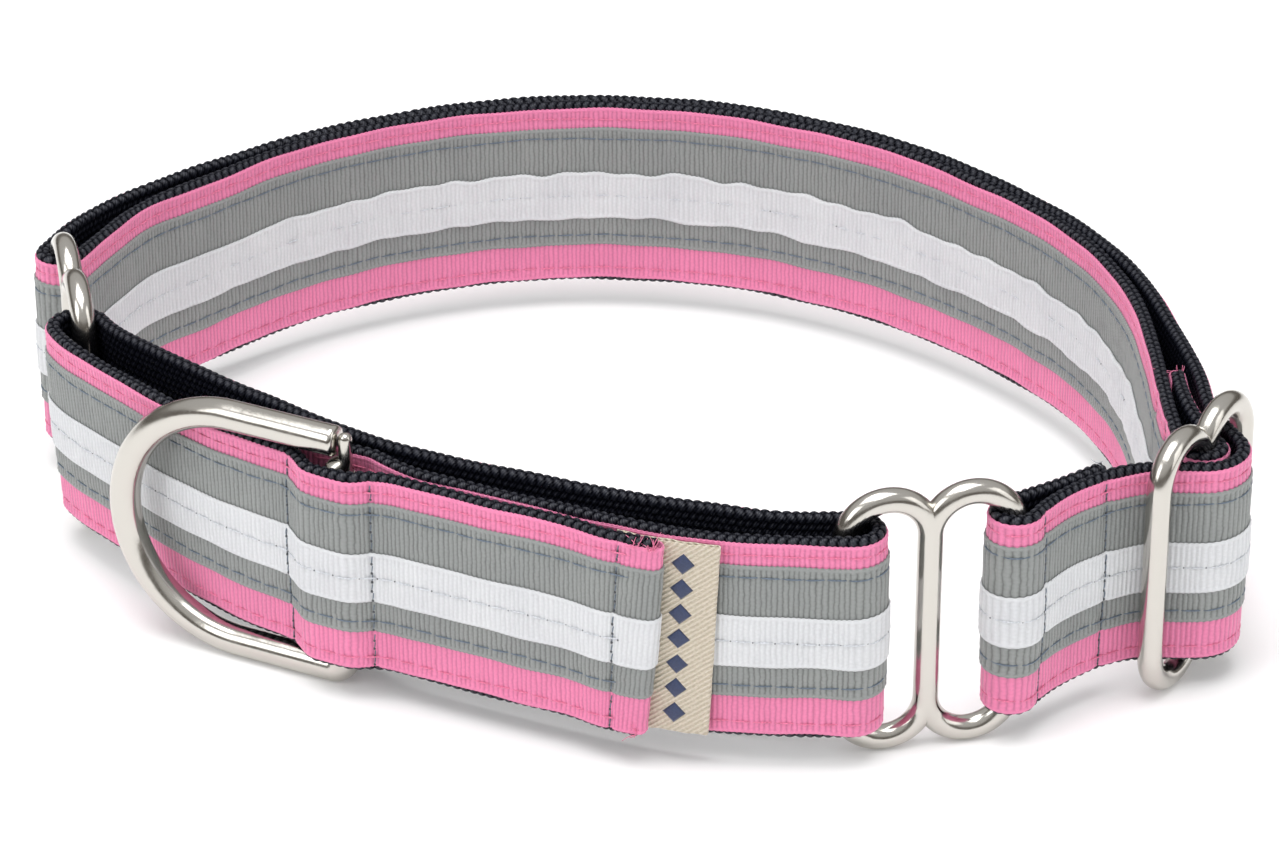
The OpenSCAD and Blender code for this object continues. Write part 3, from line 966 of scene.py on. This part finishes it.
def bent_ring():
    """The leash ring as one bent wire, whose two ends meet in a fine slit at the upper corner."""
    swing = next(j for j in frame["joints"] if j["name"] == "leash_ring_swing")
    bow = next(m for m in frame["record"]["mounts"] if m["name"] == "leash_ring_bow")
    outward = np.array(bow["axis"])
    foot = np.array([*swing["pos_m"][:2], 0.0]) / MM
    low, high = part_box("leash_ring")
    corner_r = 2.4
    bow_r = (high.z - low.z) / MM / 2 - WIRE_R
    centre_z = bow_r + WIRE_R
    top, bottom = centre_z + bow_r, centre_z - bow_r
    arm = np.linalg.norm(np.array(bow["pos_m"][:2]) / MM - foot[:2]) - bow_r

    # The line of the wire in the ring's own plane: distance outwards and height
    step = 0.35
    line = [(u, top) for u in np.arange(0.15, arm, step)]
    for a in np.linspace(0, math.pi, 160):
        line.append((arm + bow_r * math.sin(a), centre_z + bow_r * math.cos(a)))
    line += [(u, bottom) for u in np.arange(arm - step, corner_r, -step)]
    for a in np.linspace(0, math.pi / 2, 14):
        line.append((corner_r * (1 - math.sin(a)), bottom + corner_r * (1 - math.cos(a))))

    # The upright bar ends in a thin nub beside the upper arm
    nub_length = 3.0
    nub_reach = 1.35
    nub_z = 2 * centre_z - 2 * WIRE_R
    rise = np.arange(bottom + corner_r + step, 2 * centre_z - 0.45, 0.3)
    nub = smooth(nub_z - nub_length, nub_z, rise)
    line = np.array(line + list(zip(-nub_reach * nub, rise)))
    thin = np.concatenate([np.zeros(len(line) - len(rise)), nub])
    run = run_along(line)
    start = 0.72 + 0.28 * rounded(run, 0.7)
    end = 0.3 + 0.7 * rounded(run[-1] - run, 1.5)
    radius = WIRE_R * np.minimum(start, end) * (1 - 0.55 * thin)
    upward = np.array([0, 0, 1.0])
    cords = Cords(40)
    cords.add(foot + line[:, :1] * outward + line[:, 1:] * upward, radius, np.cross(outward, upward))
    obj = cords.build("leash_ring_wire")
    paint(obj, "nickel")
    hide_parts("leash_ring")
    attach(obj, "leash_ring")


# ---- Label ----
def tape_path(first, last, low, high):
    """Along the control loop's face from first to last, round a soft fold and back."""
    s = np.arange(first, last, RIBBON_STEP)
    near = loop.at(s, low, 0)[:, :2]
    far = loop.at(s, low + (high - low) * smooth(first, first + 4, s), 0)[:, :2]
    side = far[-1] - near[-1]
    way = unit(near[-1] - near[-2])
    turn = np.linspace(0, math.pi, 24)[1:-1, None]
    bulge = 1.3 * (high - low) / 2
    bend = near[-1] + side / 2 - side / 2 * np.cos(turn) + bulge * way * np.sin(turn)
    path = even_path(np.concatenate([near, bend, far[::-1]]), TAPE_STEP)
    # The whole tape follows the slanted end of the strap that holds it
    path.slant = (-20, unit(near[-1] - near[0]), 1.9)
    return path


def folded_tape(path):
    """Twill tape folded in half, a little uneven along its cut edges and between them."""
    s = path.s
    bottom = (0.75 + 0.1 * wobble(s, 71, 6))[:, None]
    top = (37.2 + 0.12 * wobble(s, 72, 7))[:, None]
    share = np.concatenate([[0, 0.004, 0.02], np.linspace(0.06, 0.94, 30), [0.98, 0.996, 1]])
    z = bottom + share * (top - bottom)
    free = smooth(0, 5, s) * (1 - smooth(path.length - 5, path.length, s))
    buckle = 0.05 * wobble(z, 73, 13) * free[:, None]
    half_t = TAPE_T / 2 - 0.12 * (bell(z - bottom, 0.2) + bell(z - top, 0.2))
    offset = np.concatenate([buckle + half_t, (buckle - half_t)[:, ::-1]], 1)
    obj = sweep("folded_tape_label", path, s, offset, np.concatenate([z, z[:, ::-1]], 1))
    paint(obj, "cotton_label")
    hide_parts("folded_label")
    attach(obj, "loop_right")


def woven_lozenges(path):
    """A plain row of raised lozenges on the half of the tape that faces outwards."""
    middle = path.length / 2 + 5.9
    points = []
    quads = []
    for height in np.arange(4.6, 35.0, 4.8):
        base = len(points)
        for size, rise in ((2.0, 0.0), (1.5, 0.16)):
            for along, up in ((0.0, size), (size, 0.0), (0.0, -size), (-size, 0.0)):
                points.append(path.at(middle + along, -TAPE_T / 2 - rise, height + up))
        for i in range(4):
            after = (i + 1) % 4
            quads.append([base + i, base + after, base + 4 + after, base + 4 + i])
        quads += [[base + 4, base + 5, base + 6, base + 7], [base + 3, base + 2, base + 1, base]]
    obj = mesh_object("label_woven_lozenges", points, quads)
    paint(obj, "navy_thread")
    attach(obj, "loop_right")


def label():
    """The folded tape with its motif, where the frame has its plain label."""
    spots = [loop.nearest(p[:2], last=0.4) for p in cad_points("folded_label")]
    low = WHITE_FACE + 0.2 + TAPE_T / 2
    path = tape_path(min(spots), max(spots) - 0.6, low, low + 0.62)
    folded_tape(path)
    woven_lozenges(path)


plate_slides()
bent_ring()
all_loose_ends()
label()


# ---- Studio ----
CAMERA_PLACE_M = (0.00271, -0.79041, 0.45423)
CAMERA_TILT_DEG = 61.12
CAMERA_LENS = 140.7

# Name, place, target, size and power of each light, in metres and watts
LIGHTS = [
    ("soft_top", (-0.1, -0.15, 1.1), (0, 0, 0), (1.0, 0.8), 9.6),
    ("soft_left", (-0.95, -0.7, 0.75), (0, 0, 0.02), (0.7, 0.7), 3.8),
    ("soft_right", (1.0, -0.4, 0.5), (0, 0, 0.02), (0.5, 0.8), 1.6),
]


def floor():
    """A plain pale floor with a faint glow of its own."""
    size_m = 3.0
    corners = [(-size_m, -size_m, 0), (size_m, -size_m, 0), (size_m, size_m, 0), (-size_m, size_m, 0)]
    mesh = bpy.data.meshes.new("studio_floor")
    mesh.from_pydata(corners, [], [(0, 1, 2, 3)])
    obj = bpy.data.objects.new("studio_floor", mesh)
    bpy.context.scene.collection.objects.link(obj)
    m = Nodes(bpy.data.materials.new("studio_floor"))
    m.set(Base_Color=rgba(0.96), Emission_Color=rgba(1), Emission_Strength=0.08)
    m.set(Roughness=0.9, Specular_IOR_Level=0.1)
    mesh.materials.append(m.owner)


def area_light(name, place, target, size, power):
    """A soft rectangular light that shines from its place towards its target."""
    data = bpy.data.lights.new(name, "AREA")
    data.shape = "RECTANGLE"
    data.size, data.size_y = size
    data.energy = power
    obj = bpy.data.objects.new(name, data)
    bpy.context.scene.collection.objects.link(obj)
    obj.location = place
    obj.rotation_euler = (Vector(target) - Vector(place)).to_track_quat("-Z", "Y").to_euler()


def studio_world():
    """An even room for the light, with a darker band low on its walls for the metal to show."""
    world = bpy.data.worlds.new("studio")
    bpy.context.scene.world = world
    w = Nodes(world, "Background")
    split = w.new("ShaderNodeSeparateXYZ")
    w.join(w.new("ShaderNodeTexCoord").outputs["Generated"], split.inputs[0])
    walls = [
        (0.0, (0.75, 0.72, 0.68)),
        (0.08, (0.2, 0.18, 0.16)),
        (0.3, (0.32, 0.3, 0.28)),
        (0.45, (0.9, 0.89, 0.87)),
        (1.0, 1),
    ]
    seen = w.ramp(split.outputs["Z"], walls)
    glossy = w.new("ShaderNodeLightPath").outputs["Is Glossy Ray"]
    w.join(w.mix("MIX", glossy, rgba(1), seen), w.shader.inputs["Color"])
    w.set(Strength=0.64)


def camera():
    """The view of the main picture."""
    data = bpy.data.cameras.new("camera")
    data.sensor_width = 36.0
    data.lens = CAMERA_LENS
    obj = bpy.data.objects.new("camera", data)
    bpy.context.scene.collection.objects.link(obj)
    obj.location = CAMERA_PLACE_M
    obj.rotation_euler = (math.radians(CAMERA_TILT_DEG), 0, 0)
    bpy.context.scene.camera = obj
    bpy.context.scene.view_settings.view_transform = "Standard"


floor()
for light in LIGHTS:
    area_light(*light)
studio_world()
camera()
